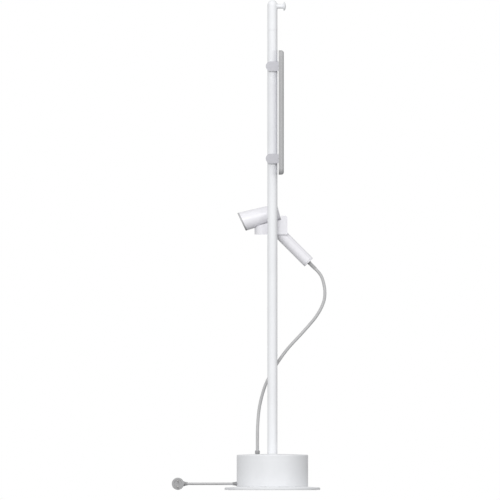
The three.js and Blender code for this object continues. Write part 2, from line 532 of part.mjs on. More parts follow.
// The plug lies on its round side: pins point to -Y, the cord leaves along +X.
function buildPlug() {
  const plugFrame = frameAt(at(PLUG_X, 0, MAINS_HEIGHT), ALONG_Y, ALONG_X);
  let body = turned([
    [0, PLUG_FACE], [PLUG_RADIUS - 1, PLUG_FACE], [PLUG_RADIUS, PLUG_FACE + 1],
    [PLUG_RADIUS, PLUG_BACK - 2], [PLUG_RADIUS - 2, PLUG_BACK], [0, PLUG_BACK],
  ], plugFrame, 28);
  const chamfer = new THREE.Matrix4().makeRotationZ(THREE.MathUtils.degToRad(-45));
  chamfer.setPosition(PLUG_X - 4, PLUG_BACK, MAINS_HEIGHT);
  body = body.subtract(blockIn(chamfer, -60, 0, -40, 40, -40, 40));
  const relief = frameAt(at(PLUG_X, 0, MAINS_HEIGHT), ALONG_X, UP);
  body = body.add(turned([[0, 4], [8, 4], [8, 21], [7.2, 24], [6.2, 31.5], [0, 31.5]], relief, 24));
  for (const [name, lift] of [['upper', PIN_OFFSET], ['lower', -PIN_OFFSET]]) {
    const pin = frameAt(at(PLUG_X, PLUG_FACE, MAINS_HEIGHT + lift), at(0, -1, 0), ALONG_X);
    body = body.subtract(rod(2.7, -12, 5, pin, 16));
    piece(`plug_pin_${name}`, turned([
      [0, -11.5], [2.4, -11.5], [2.4, 17.6], [1.2, 19], [0, 19],
    ], pin, 16), BRASS);
  }
  piece('plug_body', body, DARK_PLASTIC);
}

buildBase();
buildPole();
buildMirror();
buildBarrel();
buildGrip();
buildCradle();
buildCords();
buildPlug();

export default model;
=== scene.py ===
"""Free-standing hair-dryer column: weighted base, pole with peg, turning mirror, fork and hand piece."""
import json
import math

import bmesh
import bpy
from mathutils import Matrix, Vector


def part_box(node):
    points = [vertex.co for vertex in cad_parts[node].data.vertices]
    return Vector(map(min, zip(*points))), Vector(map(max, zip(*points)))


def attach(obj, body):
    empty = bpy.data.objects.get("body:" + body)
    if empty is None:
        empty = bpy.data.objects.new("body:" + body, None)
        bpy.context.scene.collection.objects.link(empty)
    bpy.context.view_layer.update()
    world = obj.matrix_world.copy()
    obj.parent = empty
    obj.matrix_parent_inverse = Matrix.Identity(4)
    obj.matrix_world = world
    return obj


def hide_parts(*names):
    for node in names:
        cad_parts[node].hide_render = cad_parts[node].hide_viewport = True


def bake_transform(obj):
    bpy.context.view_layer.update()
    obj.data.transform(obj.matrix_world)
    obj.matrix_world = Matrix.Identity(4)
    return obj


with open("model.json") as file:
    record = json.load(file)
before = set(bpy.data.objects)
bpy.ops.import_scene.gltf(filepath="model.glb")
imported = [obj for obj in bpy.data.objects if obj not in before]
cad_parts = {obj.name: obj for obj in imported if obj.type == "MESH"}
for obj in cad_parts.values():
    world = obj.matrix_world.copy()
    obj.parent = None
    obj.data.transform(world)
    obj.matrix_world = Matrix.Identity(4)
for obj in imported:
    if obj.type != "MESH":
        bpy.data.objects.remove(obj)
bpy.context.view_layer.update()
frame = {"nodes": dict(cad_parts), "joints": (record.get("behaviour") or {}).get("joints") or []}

MM = 0.001
NODES = frame["nodes"]
JOINTS = {joint["name"]: joint for joint in frame["joints"]}
UP = Vector((0, 0, 1))
ALONG_X = Vector((1, 0, 0))
ALONG_Y = Vector((0, 1, 0))


def low(node):
    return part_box(node)[0]


def high(node):
    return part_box(node)[1]


def place_at(origin, axis, side=ALONG_X):
    """A frame at origin whose own Z runs along axis, with its own X as near as it can be to side."""
    z = Vector(axis).normalized()
    y = z.cross(Vector(side)).normalized()
    x = y.cross(z)
    place = Matrix((x, y, z)).transposed().to_4x4()
    place.translation = Vector(origin)
    return place


def from_side(y, z):
    """A frame as the camera sees it: own X along X, own Y up, own Z toward the camera."""
    place = Matrix((ALONG_X, UP, -ALONG_Y)).transposed().to_4x4()
    place.translation = (0, y, z)
    return place


# Driving sizes, in metres. The rest comes from the CAD boxes and joints.
POLE_RADIUS = high("pole_tube").x
POLE_CLEARANCE = POLE_RADIUS + 0.3 * MM
HAND_PLANE = JOINTS["fan_spin"]["pos_m"][1]
BARREL_FRONT = Vector(JOINTS["fan_spin"]["pos_m"])
BARREL_AXIS = Vector(JOINTS["fan_spin"]["axis"])
BARREL_LENGTH = 124 * MM
BARREL_SEAM = 120.6 * MM
OUTLET_DEPTH = 5 * MM
BARREL_FRONT_RADIUS = 31 * MM
BARREL_REAR_RADIUS = 26.6 * MM
MOUTH_SLANT = math.radians(10.5)
CROSSING = Vector((-31 * MM, HAND_PLANE, 876 * MM))
GRIP_AXIS = Vector(JOINTS["power_slide"]["axis"])
GRIP_RADIUS = 19 * MM
GRIP_LENGTH = 208.6 * MM
GRIP_CAP_SEAM = GRIP_LENGTH - 4 * MM
SLIDER_REACH = 136 * MM
BUTTON_REACH = 172 * MM
BOOT_LENGTH = 30 * MM
PANEL_CORNER = 20 * MM
HAND_CABLE_RADIUS = 5 * MM
MAINS_RADIUS = 4 * MM
MAINS_HEIGHT = 20 * MM

# The camera: level, from the -Y side.
VIEW_WIDTH = 1.6
CAMERA_PLACE = (-0.0717, -5, 0.768)

# Light from each side, as world strength.
LIGHT_ALL_ROUND = 0.56
LIGHT_FRONT = 0.36
LIGHT_LEFT = 0.12
LIGHT_ABOVE = 0.22
LIGHT_LOST_BELOW = 0.7
LIGHT_LEAST = 0.05
LAMP_AIM = Vector((0, 0, 0.8))
FLOOR_RADIUS = 30

# Angles between two faces: above the first their edge is rounded, above the second it is shaded as a
# sharp edge, and below the third the two faces count as one.
ROUNDED_ANGLE = math.radians(32)
SHARP_ANGLE = math.radians(38)
FLAT_ANGLE = math.radians(0.4)

BARREL = place_at(BARREL_FRONT, BARREL_AXIS, -UP)
GRIP = place_at(CROSSING, GRIP_AXIS, (-1, 0, -1))
ON_POLE = Matrix.Identity(4)


# ---------------------------------------------------------------- camera

def add_camera():
    """Level parallel view along +Y, a little wider than the object is tall."""
    data = bpy.data.cameras.new("camera")
    data.type = "ORTHO"
    data.ortho_scale = VIEW_WIDTH
    camera = bpy.data.objects.new("camera", data)
    camera.location = CAMERA_PLACE
    camera.rotation_euler = (math.radians(90), 0, 0)
    bpy.context.scene.collection.objects.link(camera)
    bpy.context.scene.camera = camera


# ---------------------------------------------------------------- materials

class Look:
    """Node builder for one procedural material."""

    def __init__(self, name, roughness, metallic=0.0):
        self.material = bpy.data.materials.new(name)
        self.material.use_nodes = True
        self.tree = self.material.node_tree
        self.shader = self.tree.nodes["Principled BSDF"]
        self.shader.inputs["Roughness"].default_value = roughness
        self.shader.inputs["Metallic"].default_value = metallic
        self.place = self.tree.nodes.new("ShaderNodeTexCoord").outputs["Object"]

    def set(self, **values):
        for name, value in values.items():
            self.shader.inputs[name.replace("_", " ")].default_value = value

    def join(self, output, target):
        self.tree.links.new(output, target)

    def noise(self, scale, detail=3.0, stretch=None):
        place = self.place
        if stretch:
            mapping = self.tree.nodes.new("ShaderNodeMapping")
            mapping.inputs["Scale"].default_value = stretch
            self.join(place, mapping.inputs["Vector"])
            place = mapping.outputs["Vector"]
        node = self.tree.nodes.new("ShaderNodeTexNoise")
        node.inputs["Scale"].default_value = scale
        node.inputs["Detail"].default_value = detail
        self.join(place, node.inputs["Vector"])
        return node.outputs["Fac"]

    def spread(self, value, start, end, low_end=0.35, high_end=0.65):
        node = self.tree.nodes.new("ShaderNodeMapRange")
        node.inputs["From Min"].default_value = low_end
        node.inputs["From Max"].default_value = high_end
        node.inputs["To Min"].default_value = start
        node.inputs["To Max"].default_value = end
        self.join(value, node.inputs["Value"])
        return node.outputs["Result"]

    def blend(self, factor, first, second):
        node = self.tree.nodes.new("ShaderNodeMix")
        node.data_type = "RGBA"
        self.join(factor, node.inputs["Factor"])
        for colour, slot in ((first, "A"), (second, "B")):
            target = [s for s in node.inputs if s.name == slot and s.type == "RGBA"][0]
            if isinstance(colour, bpy.types.NodeSocket):
                self.join(colour, target)
            else:
                target.default_value = (*colour, 1)
        return [s for s in node.outputs if s.type == "RGBA"][0]

    def colour(self, source):
        self.join(source, self.shader.inputs["Base Color"])

    def roughness(self, source):
        self.join(source, self.shader.inputs["Roughness"])

    def bump(self, height, distance, strength=0.5, before=None):
        node = self.tree.nodes.new("ShaderNodeBump")
        node.inputs["Strength"].default_value = strength
        node.inputs["Distance"].default_value = distance
        self.join(height, node.inputs["Height"])
        if before:
            self.join(before, node.inputs["Normal"])
        self.join(node.outputs["Normal"], self.shader.inputs["Normal"])
        return node.outputs["Normal"]

    def edges(self):
        """0 on flat stretches, 1 along outer edges, where paint and plastic wear."""
        geometry = self.tree.nodes.new("ShaderNodeNewGeometry")
        return self.spread(geometry.outputs["Pointiness"], 0.0, 1.0, 0.57, 0.68)


def shade(colour, amount):
    return tuple(max(0.0, min(1.0, channel * amount)) for channel in colour)


def coated(name, colour, roughness, grain, depth, drift=0.03, metallic=0.0, coat=0.0):
    """Paint or moulded plastic: colour that drifts a little, a fine skin texture, lightly worn edges."""
    look = Look(name, roughness, metallic)
    look.set(Coat_Weight=coat, Coat_Roughness=0.2)
    cloudy = look.spread(look.noise(9, 4), 0, 1)
    base = look.blend(cloudy, shade(colour, 1 - drift), shade(colour, 1 + drift * 0.5))
    worn = look.blend(look.edges(), base, shade(colour, 0.93))
    look.colour(worn)
    look.roughness(look.spread(look.noise(60, 4), roughness * 0.85, roughness * 1.2))
    skin = look.bump(look.noise(grain, 2), depth, 0.35)
    look.bump(look.noise(grain / 9, 2), depth * 3, 0.12, before=skin)
    return look.material


def rubbery(name, colour, roughness, grain):
    """Cable jacket or rubber: matt, with faint scuffs and specks of dust."""
    look = Look(name, roughness)
    look.set(Sheen_Weight=0.15, Sheen_Roughness=0.5)
    scuffs = look.spread(look.noise(240, 5), 0, 1, 0.55, 0.75)
    base = look.blend(look.spread(look.noise(30, 3), 0, 1), shade(colour, 0.95), shade(colour, 1.03))
    look.colour(look.blend(scuffs, base, shade(colour, 1.1)))
    look.roughness(look.spread(look.noise(90, 3), roughness * 0.9, min(1.0, roughness * 1.15)))
    look.bump(look.noise(grain, 3), 0.05 * MM, 0.4)
    return look.material


def metal(name, colour, roughness, stretch, scale=500):
    """Turned or drawn metal with fine lines along one way."""
    look = Look(name, roughness, 1.0)
    lines = look.noise(scale, 4, stretch)
    look.colour(look.blend(look.spread(lines, 0, 1), shade(colour, 0.86), colour))
    look.roughness(look.spread(lines, roughness * 0.75, roughness * 1.3))
    look.bump(lines, 0.02 * MM, 0.3)
    return look.material


def cast(name, colour):
    look = Look(name, 0.75, 0.35)
    grain = look.noise(420, 6)
    look.colour(look.blend(look.spread(grain, 0, 1), shade(colour, 0.7), shade(colour, 1.15)))
    look.bump(grain, 0.4 * MM, 0.7)
    return look.material


def mirror_silver():
    """Silvered glass: a clean reflection, a little uneven in tone."""
    look = Look("mirror_silver", 0.0, 1.0)
    look.colour(look.blend(look.spread(look.noise(5, 3), 0, 1), (0.83, 0.86, 0.87), (0.88, 0.9, 0.91)))
    return look.material


def circuit_board():
    look = Look("circuit_board", 0.45)
    tracks = look.tree.nodes.new("ShaderNodeTexBrick")
    tracks.inputs["Scale"].default_value = 160
    tracks.inputs["Mortar Size"].default_value = 0.03
    tracks.inputs["Color1"].default_value = (0.03, 0.16, 0.08, 1)
    tracks.inputs["Color2"].default_value = (0.035, 0.19, 0.09, 1)
    tracks.inputs["Mortar"].default_value = (0.35, 0.42, 0.2, 1)
    look.join(look.place, tracks.inputs["Vector"])
    look.colour(tracks.outputs["Color"])
    look.bump(look.noise(900, 2), 0.03 * MM)
    return look.material


def hardboard():
    look = Look("hardboard", 0.85)
    fibres = look.noise(300, 6, (1, 1, 0.3))
    look.colour(look.blend(look.spread(fibres, 0, 1), (0.16, 0.1, 0.06), (0.27, 0.18, 0.11)))
    look.bump(fibres, 0.15 * MM, 0.6)
    return look.material


def foam():
    look = Look("filter_foam", 0.95)
    cells = look.tree.nodes.new("ShaderNodeTexVoronoi")
    cells.inputs["Scale"].default_value = 900
    look.join(look.place, cells.inputs["Vector"])
    look.colour(look.blend(cells.outputs["Distance"], (0.02, 0.02, 0.022), (0.09, 0.09, 0.095)))
    look.bump(cells.outputs["Distance"], 0.5 * MM, 0.8)
    return look.material


def floor_paper():
    look = Look("studio_floor", 0.9)
    look.colour(look.blend(look.spread(look.noise(1.5, 3), 0, 1), (0.78, 0.78, 0.785), (0.8, 0.8, 0.805)))
    look.bump(look.noise(500, 2), 0.05 * MM, 0.2)
    return look.material


PAINT = coated("white_powder_coat", (0.8, 0.81, 0.83), 0.42, 900, 0.06 * MM, coat=0.15)
# The white powder coat made darker for the plate and drum: painted shade, so the low parts come out no
# brighter than the pole above them.
SHADED_BASE_PAINT = coated("base_powder_coat_painted_shade", (0.74, 0.75, 0.77), 0.42, 900, 0.06 * MM, coat=0.15)
WHITE_PLASTIC = coated("white_moulding", (0.78, 0.775, 0.81), 0.4, 1600, 0.03 * MM, 0.02, coat=0.2)
GREY_PLASTIC = coated("grey_moulding", (0.38, 0.38, 0.385), 0.52, 1500, 0.08 * MM)
FRAME_PLASTIC = coated("frame_moulding", (0.41, 0.41, 0.415), 0.5, 1500, 0.08 * MM)
CLAMP_GREY = coated("clamp_coat", (0.53, 0.53, 0.56), 0.45, 1100, 0.05 * MM, metallic=0.1)
DARK_PLASTIC = coated("mid_grey_moulding", (0.4, 0.4, 0.405), 0.55, 1400, 0.07 * MM)
PLUG_PLASTIC = coated("plug_moulding", (0.36, 0.36, 0.365), 0.5, 1300, 0.07 * MM)
GLAND_PLASTIC = coated("gland_moulding", (0.3, 0.3, 0.305), 0.5, 1300, 0.07 * MM)
RIM_GREY = coated("outlet_grey", (0.42, 0.42, 0.43), 0.5, 1400, 0.06 * MM)
BLACK_PLASTIC = coated("inner_black", (0.035, 0.036, 0.038), 0.6, 1300, 0.06 * MM)
CABLE_JACKET = rubbery("cable_jacket", (0.47, 0.47, 0.475), 0.55, 1400)
FLOOR_RUBBER = rubbery("floor_rubber", (0.38, 0.385, 0.39), 0.8, 800)
STEEL = metal("zinc_steel", (0.6, 0.61, 0.63), 0.33, (1, 1, 0.08))
PIN_METAL = metal("plated_pins", (0.56, 0.55, 0.53), 0.25, (1, 0.1, 1), 900)
IRON = cast("cast_iron", (0.08, 0.08, 0.085))
CERAMIC = coated("heater_ceramic", (0.6, 0.56, 0.48), 0.85, 700, 0.15 * MM, 0.08)
MIRROR_SILVER = mirror_silver()
BOARD = circuit_board()
HARDBOARD = hardboard()
FOAM = foam()


# ---------------------------------------------------------------- mesh tools

def arc(cx, cy, radius, start, end, steps):
    """Points on an arc, angles in degrees."""
    turns = [math.radians(start + (end - start) * i / steps) for i in range(steps + 1)]
    return [(cx + radius * math.cos(t), cy + radius * math.sin(t)) for t in turns]


def outline(corners, closed, steps=6):
    """Points of an outline whose corners are (x, y) or (x, y, radius of the rounding)."""
    points = []
    count = len(corners)
    for i, corner in enumerate(corners):
        here = Vector(corner[:2])
        radius = corner[2] if len(corner) > 2 else 0
        if not radius or (not closed and i in (0, count - 1)):
            points.append(tuple(here))
            continue
        back = Vector(corners[i - 1][:2]) - here
        ahead = Vector(corners[(i + 1) % count][:2]) - here
        half = back.angle(ahead) / 2
        reach = min(radius / math.tan(half), 0.5 * back.length, 0.5 * ahead.length)
        radius = reach * math.tan(half)
        back.normalize()
        ahead.normalize()
        centre = here + (back + ahead).normalized() * (radius / math.sin(half))
        first = here + back * reach - centre
        last = here + ahead * reach - centre
        start = math.atan2(first.y, first.x)
        sweep = (math.atan2(last.y, last.x) - start + math.pi) % (2 * math.pi) - math.pi
        for step in range(steps + 1):
            turn = start + sweep * step / steps
            points.append((centre.x + radius * math.cos(turn), centre.y + radius * math.sin(turn)))
    return points


def to_object(name, mesh):
    bmesh.ops.remove_doubles(mesh, verts=mesh.verts, dist=1e-7)
    bmesh.ops.recalc_face_normals(mesh, faces=mesh.faces)
    data = bpy.data.meshes.new(name)
    mesh.to_mesh(data)
    mesh.free()
    piece = bpy.data.objects.new(name, data)
    bpy.context.scene.collection.objects.link(piece)
    return piece


def turned(name, corners, place=ON_POLE, closed=False, turns=96, shape=None):
    """Turned piece from (radius, height, rounding) corners. shape bends a local point, given its angle."""
    mesh = bmesh.new()
    angles = [2 * math.pi * i / turns for i in range(turns)]
    rings = []
    for radius, height in outline(corners, closed):
        spokes = [0.0] if radius < 1e-6 else angles
        ring = []
        for turn in spokes:
            point = Vector((radius * math.cos(turn), radius * math.sin(turn), height))
            if shape:
                point = shape(point, turn)
            ring.append(mesh.verts.new(place @ point))
        rings.append(ring)
    following = rings[1:] + (rings[:1] if closed else [])
    for lower, upper in zip(rings, following):
        for i in range(turns):
            j = i + 1
            around = [(lower, i), (lower, j), (upper, j), (upper, i)]
            corner_set = list(dict.fromkeys(ring[k % len(ring)] for ring, k in around))
            if len(corner_set) > 2:
                mesh.faces.new(corner_set)
    return to_object(name, mesh)


def rod(name, radius, start, end, place=ON_POLE, turns=96):
    return turned(name, [(0, start), (radius, start), (radius, end), (0, end)], place, turns=turns)


def prism(name, points, depth, place, edge=0.0, steps=3):
    """A flat outline pushed along a frame's Z, with both rims rounded by edge."""
    mesh = bmesh.new()
    bottom = [mesh.verts.new((x, y, 0)) for x, y in points]
    top = [mesh.verts.new((x, y, depth)) for x, y in points]
    count = len(points)
    for i in range(count):
        j = (i + 1) % count
        mesh.faces.new((bottom[i], bottom[j], top[j], top[i]))
    caps = [mesh.faces.new(bottom[::-1]), mesh.faces.new(top)]
    bmesh.ops.recalc_face_normals(mesh, faces=mesh.faces)
    if edge:
        rims = list({rim for cap in caps for rim in cap.edges})
        bmesh.ops.bevel(mesh, geom=rims, offset=edge, segments=steps, profile=0.5, affect="EDGES")
    mesh.transform(place)
    return to_object(name, mesh)


def slab(name, x0, x1, y0, y1, z0, z1, place=ON_POLE, edge=0.0):
    """A block with rounded rims, between limits in a frame's own axes."""
    points = outline([(x0, y0, edge), (x1, y0, edge), (x1, y1, edge), (x0, y1, edge)], True, 3)
    return prism(name, points, z1 - z0, place @ Matrix.Translation((0, 0, z0)), edge)


def bake(piece):
    graph = bpy.context.evaluated_depsgraph_get()
    data = bpy.data.meshes.new_from_object(piece.evaluated_get(graph))
    piece.modifiers.clear()
    piece.data = data


def combine(piece, operation, *tools):
    """Booleans with helper pieces, which are used up."""
    for tool in tools:
        step = piece.modifiers.new("combine", "BOOLEAN")
        step.operation = operation
        step.solver = "MANIFOLD"
        step.object = tool
        bake(piece)
        bpy.data.objects.remove(tool)


def carve(piece, *tools):
    combine(piece, "DIFFERENCE", *tools)


def weld(piece, *tools):
    combine(piece, "UNION", *tools)


def join(piece, *others):
    """Several closed shells in one piece, without cutting them."""
    mesh = bmesh.new()
    for source in (piece, *others):
        mesh.from_mesh(source.data)
    for other in others:
        bpy.data.objects.remove(other)
    mesh.to_mesh(piece.data)
    mesh.free()
    return piece


def soften(piece, width, steps=3):
    """Rounds the sharp edges that booleans leave, once the scraps of each flat face are one face again."""
    mesh = bmesh.new()
    mesh.from_mesh(piece.data)
    bmesh.ops.dissolve_limit(mesh, angle_limit=FLAT_ANGLE, verts=mesh.verts, edges=mesh.edges)
    mesh.to_mesh(piece.data)
    mesh.free()
    step = piece.modifiers.new("round", "BEVEL")
    step.width = width
    step.segments = steps
    step.limit_method = "ANGLE"
    step.angle_limit = ROUNDED_ANGLE
    step.use_clamp_overlap = True
    bake(piece)


def dress(piece, body, look, slot, *nodes):
    """Smooth shading, material, body (None for a piece that bends), slot (not used) and the CAD nodes it
    replaces.
    """
    for face in piece.data.polygons:
        face.use_smooth = True
    piece.data.set_sharp_from_angle(angle=SHARP_ANGLE)
    step = piece.modifiers.new("flat faces stay flat", "WEIGHTED_NORMAL")
    step.keep_sharp = True
    bake(piece)
    piece.data.materials.clear()
    piece.data.materials.append(look)
    if body:
        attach(piece, body)
    if nodes:
        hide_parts(*nodes)
    return piece


# ---------------------------------------------------------------- cords

def smooth_route(points, per_span):
    """Catmull-Rom curve with centripetal spacing through the given points."""
    points = [Vector(p) for p in points]
    padded = [points[0] * 2 - points[1], *points, points[-1] * 2 - points[-2]]
    route = []
    for i in range(1, len(padded) - 2):
        a, b, c, d = padded[i - 1:i + 3]
        t0 = 0.0
        t1 = t0 + math.sqrt((b - a).length)
        t2 = t1 + math.sqrt((c - b).length)
        t3 = t2 + math.sqrt((d - c).length)
        for step in range(per_span):
            t = t1 + (t2 - t1) * step / per_span
            ab = a * ((t1 - t) / (t1 - t0)) + b * ((t - t0) / (t1 - t0))
            bc = b * ((t2 - t) / (t2 - t1)) + c * ((t - t1) / (t2 - t1))
            cd = c * ((t3 - t) / (t3 - t2)) + d * ((t - t2) / (t3 - t2))
            abc = ab * ((t2 - t) / (t2 - t0)) + bc * ((t - t0) / (t2 - t0))
            bcd = bc * ((t3 - t) / (t3 - t1)) + cd * ((t - t1) / (t3 - t1))
            route.append(abc * ((t2 - t) / (t2 - t1)) + bcd * ((t - t1) / (t2 - t1)))
    route.append(points[-1])
    return route


def tube(name, route, radius, sides=24):
    """Round tube along a route, its section carried along without twisting, with flat ends."""
    mesh = bmesh.new()
    rings = []
    side = None
    for i, point in enumerate(route):
        ahead = route[min(i + 1, len(route) - 1)] - route[max(i - 1, 0)]
        ahead.normalize()
        side = ahead.orthogonal() if side is None else side - ahead * side.dot(ahead)
        side.normalize()
        other = ahead.cross(side)
        turns = [2 * math.pi * k / sides for k in range(sides)]
        rings.append([
            mesh.verts.new(point + (side * math.cos(t) + other * math.sin(t)) * radius) for t in turns
        ])
    for lower, upper in zip(rings, rings[1:]):
        for k in range(sides):
            n = (k + 1) % sides
            mesh.faces.new((lower[k], lower[n], upper[n], upper[k]))
    mesh.faces.new(rings[0][::-1])
    mesh.faces.new(rings[-1])
    return to_object(name, mesh)


def along_grip(reach):
    return CROSSING + GRIP_AXIS * (GRIP_LENGTH + BOOT_LENGTH + reach * MM)


def make_cords():
    gland = (low("cable_gland") + high("cable_gland")) / 2
    points = [
        along_grip(0.3), along_grip(9), (0.157, 0.05, 0.683), (0.1675, 0.049, 0.64), (0.1645, 0.047, 0.604),
        (0.143, 0.044, 0.56), (0.1, 0.041, 0.508), (0.075, 0.0395, 0.481), (0.05, 0.038, 0.4535),
        (0.029, 0.0365, 0.426), (0.01, 0.035, 0.397), (-0.0085, 0.0334, 0.365), (-0.024, 0.032, 0.332),
        (-0.041, 0.0305, 0.268), (-0.047, 0.03, 0.21), (gland.x, gland.y, 0.16),
        (gland.x, gland.y, high("cable_gland").z + 0.3 * MM),
    ]
    route = smooth_route(points, 10)
    cable = tube("hand_cable_jacket", route, HAND_CABLE_RADIUS)
    dress(cable, None, CABLE_JACKET, "cable_jacket", "hand_cable")
    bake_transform(cable)
    mains_route = [
        Vector((x, 0, MAINS_HEIGHT)) for x in (
            -0.1283, -0.138, -0.148, -0.158, -0.168, -0.178, -0.188, -0.198, -0.208, -0.218, -0.228,
            -0.238, -0.248, -0.258, -0.2707,
        )
    ]
    mains = tube("mains_cord_jacket", mains_route, MAINS_RADIUS)
    dress(mains, "stand", CABLE_JACKET, "cable_jacket", "mains_cord")
    return mains, mains_route


# ---------------------------------------------------------------- base

def make_base():
    plate_radius = high("base_plate").x
    plate_top = high("base_plate").z
    under = low("base_plate").z
    drum_radius = high("drum_cover").x
    crown = high("drum_cover").z
    shoulder = crown - 2.6 * MM
    wall = 1.6 * MM
    foot = low("drum_cover").z
    groove_start, groove_end, groove_top = 118 * MM, 142 * MM, 3.3 * MM
    # The plate and drum take the darker copy of the white powder coat, which is painted shade.
    plate = turned("base_plate_disc", [
        (0, under), (groove_start, under), (groove_start, groove_top), (groove_end, groove_top),
        (groove_end, under), (plate_radius, under, 0.5 * MM),
        (plate_radius, 8.1 * MM, 2.8 * MM), (115 * MM, plate_top, 4 * MM), (0, plate_top),
    ], turns=192)
    dress(plate, "stand", SHADED_BASE_PAINT, "paint", "base_plate")
    pad = turned("floor_ring", [
        (118.4 * MM, 3 * MM), (118.4 * MM, 0.4 * MM, 0.4 * MM), (119.4 * MM, 0, 0.4 * MM),
        (124 * MM, 0), (125 * MM, 0.9 * MM), (127 * MM, 0.9 * MM), (128 * MM, 0), (132 * MM, 0),
        (133 * MM, 0.9 * MM), (135 * MM, 0.9 * MM), (136 * MM, 0), (140.6 * MM, 0, 0.4 * MM),
        (141.6 * MM, 0.4 * MM, 0.4 * MM), (141.6 * MM, 3 * MM),
    ], closed=True, turns=160)
    dress(pad, "stand", FLOOR_RUBBER, "rubber", "floor_pad")
    cover = turned("drum_shell", [
        (drum_radius - wall, foot), (drum_radius - 0.4 * MM, foot, 0.3 * MM),
        (drum_radius, foot + 0.6 * MM, 0.4 * MM),
        (drum_radius, shoulder, 3.2 * MM), (70 * MM, crown - 0.9 * MM, 90 * MM),
        (17.4 * MM, crown, 0.4 * MM), (16.6 * MM, crown - 0.5 * MM, 0.3 * MM),
        (16.6 * MM, crown - wall), (70 * MM, crown - 0.9 * MM - wall, 80 * MM),
        (drum_radius - wall, shoulder - wall, 2 * MM),
    ], closed=True, turns=192)
    dress(cover, "stand", SHADED_BASE_PAINT, "paint", "drum_cover")


def ribbed(count, first, last, depth):
    """A bend for a turned strain relief: rounded ribs between two heights."""
    def shape(point, turn):
        if first <= point.z <= last:
            share = (point.z - first) / (last - first)
            squeeze = 1 - depth * (0.5 - 0.5 * math.cos(2 * math.pi * count * share))
            return Vector((point.x * squeeze, point.y * squeeze, point.z))
        return point
    return shape


def taper(r0, r1, z0, z1, steps):
    """Profile corners of a straight taper, close enough together to carry ribs."""
    return [(r0 + (r1 - r0) * i / steps, z0 + (z1 - z0) * i / steps) for i in range(steps + 1)]


def make_bushing():
    mains_place = place_at((0, 0, MAINS_HEIGHT), (-1, 0, 0), UP)
    tip = -low("mains_bushing").x
    wall = high("drum_cover").x
    bushing = turned("mains_strain_relief", [
        (0, wall - 10 * MM), (8.5 * MM, wall - 10 * MM), (8.5 * MM, wall - 2.2 * MM),
        (6 * MM, wall - 2.2 * MM), (6 * MM, wall + 0.1 * MM), (7.2 * MM, wall + 0.2 * MM, 0.3 * MM),
        (7.2 * MM, wall + 2 * MM, 0.6 * MM),
        *taper(6.5 * MM, 5.0 * MM, wall + 2.2 * MM, tip - 0.4 * MM, 36), (4.6 * MM, tip), (0, tip),
    ], mains_place, turns=64, shape=ribbed(4, wall + 2.6 * MM, tip - 1 * MM, 0.12))
    dress(bushing, "stand", GLAND_PLASTIC, "dark_plastic", "mains_bushing")


def make_gland():
    centre = (low("cable_gland") + high("cable_gland")) / 2
    crown = high("drum_cover").z
    top = high("cable_gland").z
    gland_place = place_at((centre.x, centre.y, 0), UP)

    def fluted(point, turn):
        if top - 8.5 * MM < point.z < top - 3.5 * MM:
            dip = 1 - 0.05 * (0.5 + 0.5 * math.cos(16 * turn))
            return Vector((point.x * dip, point.y * dip, point.z))
        return point

    gland = turned("cable_gland_nut", [
        (0, crown - 14 * MM), (6 * MM, crown - 14 * MM), (6 * MM, crown + 0.4 * MM),
        (8 * MM, crown + 0.4 * MM, 0.3 * MM), (8 * MM, crown + 2.2 * MM, 0.4 * MM),
        (7.3 * MM, crown + 2.6 * MM), (7.9 * MM, crown + 3.2 * MM), (7.9 * MM, top - 7 * MM),
        (7.9 * MM, top - 5 * MM), (7.9 * MM, top - 3.8 * MM), (7.6 * MM, top - 2.6 * MM, 1 * MM),
        (6.2 * MM, top, 0.8 * MM), (5.3 * MM, top, 0.2 * MM), (5.3 * MM, top - 1 * MM),
        (0, top - 1 * MM),
    ], gland_place, turns=128, shape=fluted)
    dress(gland, "stand", GLAND_PLASTIC, "dark_plastic", "cable_gland")


# ---------------------------------------------------------------- pole and peg

def make_pole():
    bottom = low("pole_tube").z
    seam = high("pole_tube").z
    apex = high("pole_head").z
    bore = 14 * MM
    pole = turned("pole_shaft", [
        (bore, bottom), (POLE_RADIUS, bottom, 0.3 * MM), (POLE_RADIUS, seam - 0.4 * MM, 0.2 * MM),
        (POLE_RADIUS - 0.4 * MM, seam), (bore, seam),
    ], closed=True)
    dress(pole, "stand", PAINT, "paint", "pole_tube")
    dome = arc(0, apex - POLE_RADIUS, POLE_RADIUS, 0, 88, 22)
    stub = low("pole_head").z
    gap = 0.3 * MM
    head = turned("pole_cap", [
        (0, stub), (bore - gap, stub, 0.6 * MM), (bore - gap, seam + gap),
        (POLE_RADIUS - 0.4 * MM, seam + gap), (POLE_RADIUS, seam + 0.7 * MM, 0.2 * MM),
        *dome, (0, apex),
    ])
    dress(head, "stand", PAINT, "paint", "pole_head")


def make_peg():
    peg_middle = (low("coat_peg") + high("coat_peg")) / 2
    peg_place = place_at((0, 0, peg_middle.z), ALONG_X, UP)
    tip = high("coat_peg").x
    head_radius = high("coat_peg").y
    shaft_radius = 7.5 * MM
    peg = turned("peg_mushroom", [
        (0, 13 * MM), (9.4 * MM, 13 * MM), (9.4 * MM, 16.4 * MM, 0.8 * MM),
        (shaft_radius, 18 * MM, 1.5 * MM), (shaft_radius, 35 * MM, 4 * MM),
        (head_radius, 36 * MM, 0.9 * MM), (head_radius, 38.6 * MM, 1.6 * MM),
        (8.5 * MM, tip - 1 * MM, 10 * MM), (0, tip),
    ], peg_place, turns=72)
    dress(peg, "stand", PAINT, "paint", "coat_peg")


# ---------------------------------------------------------------- mirror

def panel_place(x):
    middle = (high("panel_frame").z + low("panel_frame").z) / 2
    return place_at((x, 0, middle), ALONG_X, ALONG_Y)


